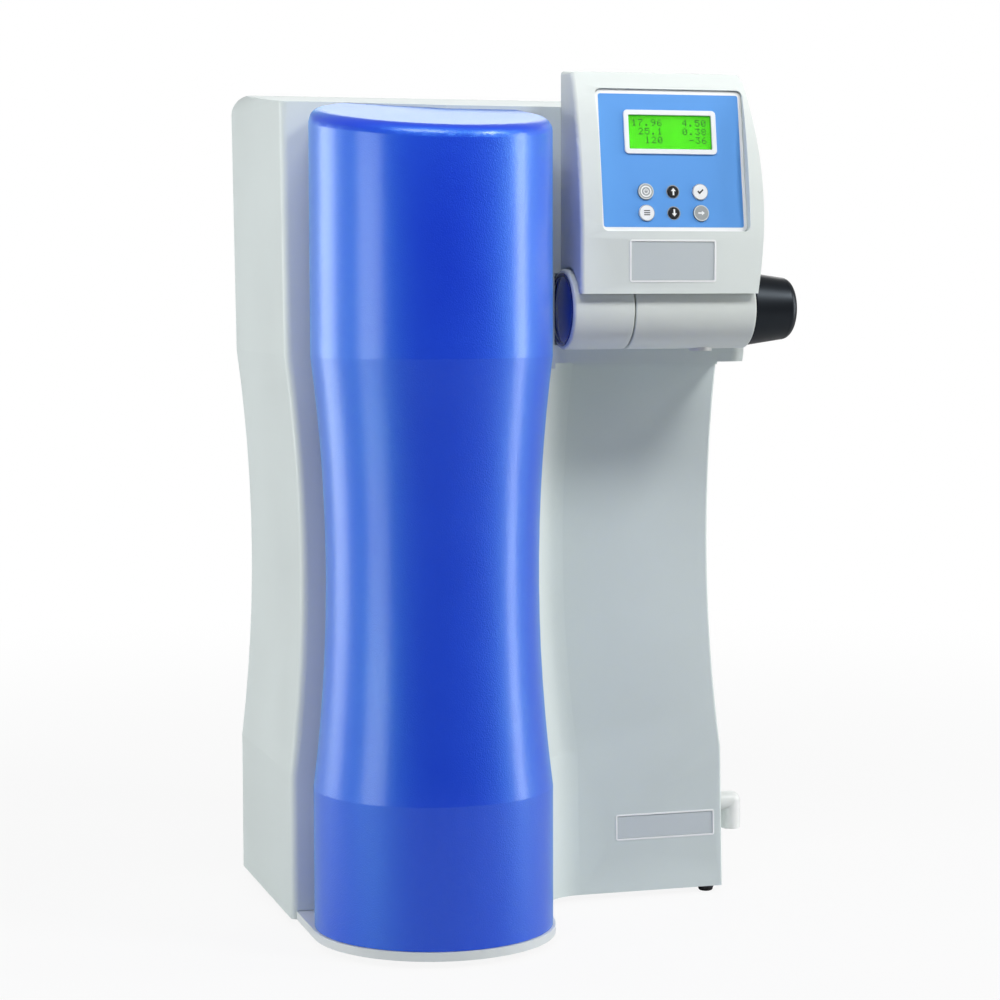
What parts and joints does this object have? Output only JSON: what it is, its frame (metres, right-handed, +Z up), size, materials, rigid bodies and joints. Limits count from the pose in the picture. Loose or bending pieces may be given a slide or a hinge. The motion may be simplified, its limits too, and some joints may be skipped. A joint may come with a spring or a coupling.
{
  "type": "ultrapure water system",
  "caption": "Bench-top ultrapure water system: waisted housing, pull-off front cover, tilting display head with keys, dispensing knob and outlet over an open bay.",
  "frame": {"origin": "centre of the bounding box seen from above, on the bench under the feet", "axes": "+X to the right seen from the front, +Y to the back, +Z up"},
  "size_m": [0.3244, 0.311, 0.5424],
  "materials": {
    "housing_grey": "fine texture",
    "cover_blue": "satin with fine grain",
    "tray_grey": "satin",
    "head_grey": "satin",
    "barrel_grey": "satin",
    "cap_blue": "gloss",
    "knob_black": "satin",
    "label_blue": "satin film",
    "bezel_white": "satin",
    "screen_green": "clear",
    "display_green": "satin",
    "key_white": "satin",
    "key_black": "satin",
    "plate_pale": "satin",
    "nozzle_white": "satin",
    "steel": "brushed",
    "screw_steel": "bright",
    "foot_rubber": "matt",
    "cartridge_white": "gloss",
    "fitting_grey": "satin",
    "panel_zinc": "fine texture",
    "board_green": "satin",
    "motor_black": "semi gloss",
    "brass": "machined",
    "tube_natural": "translucent look",
    "lamp_glass": "clear",
    "magnet": "plated"
  },
  "bodies": {
    "housing": {"barrel_screws": "screw_steel", "base_tray": "tray_grey", "cartridge": "cartridge_white", "cartridge_clips": "fitting_grey", "cartridge_couplings": "fitting_grey", "chassis_plate": "steel", "column_plate": "plate_pale", "controller_board": "board_green", "cover_magnets": "magnet", "feed_tube": "tube_natural", "feet": "foot_rubber", "filter_capsule": "cartridge_white", "filter_tube": "tube_natural", "flow_manifold": "fitting_grey", "hinge_axle": "steel", "housing_shell": "housing_grey", "motor_cradle": "foot_rubber", "outlet_nozzle": "nozzle_white", "outlet_tube": "tube_natural", "power_inlet": "knob_black", "power_supply": "panel_zinc", "pump_head": "brass", "pump_motor": "motor_black", "pump_tube": "tube_natural", "rear_panel": "panel_zinc", "rear_ports": "fitting_grey", "rear_screws": "screw_steel", "side_elbow": "nozzle_white", "solenoid_valve": "motor_black", "tray_screws": "screw_steel", "uv_chamber": "steel", "uv_lamp": "lamp_glass", "uv_tube": "tube_natural", "valve_barrel": "barrel_grey", "valve_gland": "fitting_grey", "valve_seats": "nozzle_white", "vessel_clamps": "fitting_grey"},
    "cover": {"front_cover": "cover_blue"},
    "head": {"head_front_shell": "head_grey", "head_back_cover": "head_grey", "head_screws": "screw_steel", "panel_label": "label_blue", "lcd_bezel": "bezel_white", "lcd_window": "screen_green", "display_module": "display_green", "head_plate": "plate_pale", "key_board": "board_green", "left_barrel": "barrel_grey", "barrel_end_cap": "cap_blue"},
    "knob": {"dispensing_knob": "knob_black", "knob_screw": "screw_steel", "valve_spindle": "steel", "valve_plug": "steel"},
    "pump_rotor": {"pump_rotor": "steel"},
    "power_key": {"power_key": "key_white"},
    "up_key": {"up_key": "key_black"},
    "confirm_key": {"confirm_key": "key_white"},
    "menu_key": {"menu_key": "key_white"},
    "down_key": {"down_key": "key_black"},
    "lamp_key": {"lamp_key": "key_white"}
  },
  "joints": [
    {"name": "cover_pull", "type": "slide", "parent": "housing", "child": "cover", "axis": [0, -1, 0], "range_m": [0, 0.16]},
    {"name": "head_tilt", "type": "hinge", "parent": "housing", "child": "head", "pos_m": [0.04995, -0.0652, 0.3926], "axis": [1, 0, 0], "range_deg": [0, 35]},
    {"name": "knob_turn", "type": "hinge", "parent": "housing", "child": "knob", "pos_m": [0.12995, -0.0652, 0.3926], "axis": [1, 0, 0], "range_deg": [0, 270]},
    {"name": "pump_spin", "type": "hinge", "parent": "housing", "child": "pump_rotor", "pos_m": [-0.07005, 0.0188, 0.0554], "axis": [1, 0, 0], "continuous": true},
    {"name": "power_key_press", "type": "slide", "parent": "head", "child": "power_key", "axis": [0, 0.9882, -0.153], "range_m": [0, 0.0005], "stiffness_N_per_m": 1500},
    {"name": "up_key_press", "type": "slide", "parent": "head", "child": "up_key", "axis": [0, 0.9882, -0.153], "range_m": [0, 0.0005], "stiffness_N_per_m": 1500},
    {"name": "confirm_key_press", "type": "slide", "parent": "head", "child": "confirm_key", "axis": [0, 0.9882, -0.153], "range_m": [0, 0.0005], "stiffness_N_per_m": 1500},
    {"name": "menu_key_press", "type": "slide", "parent": "head", "child": "menu_key", "axis": [0, 0.9882, -0.153], "range_m": [0, 0.0005], "stiffness_N_per_m": 1500},
    {"name": "down_key_press", "type": "slide", "parent": "head", "child": "down_key", "axis": [0, 0.9882, -0.153], "range_m": [0, 0.0005], "stiffness_N_per_m": 1500},
    {"name": "lamp_key_press", "type": "slide", "parent": "head", "child": "lamp_key", "axis": [0, 0.9882, -0.153], "range_m": [0, 0.0005], "stiffness_N_per_m": 1500}
  ]
}
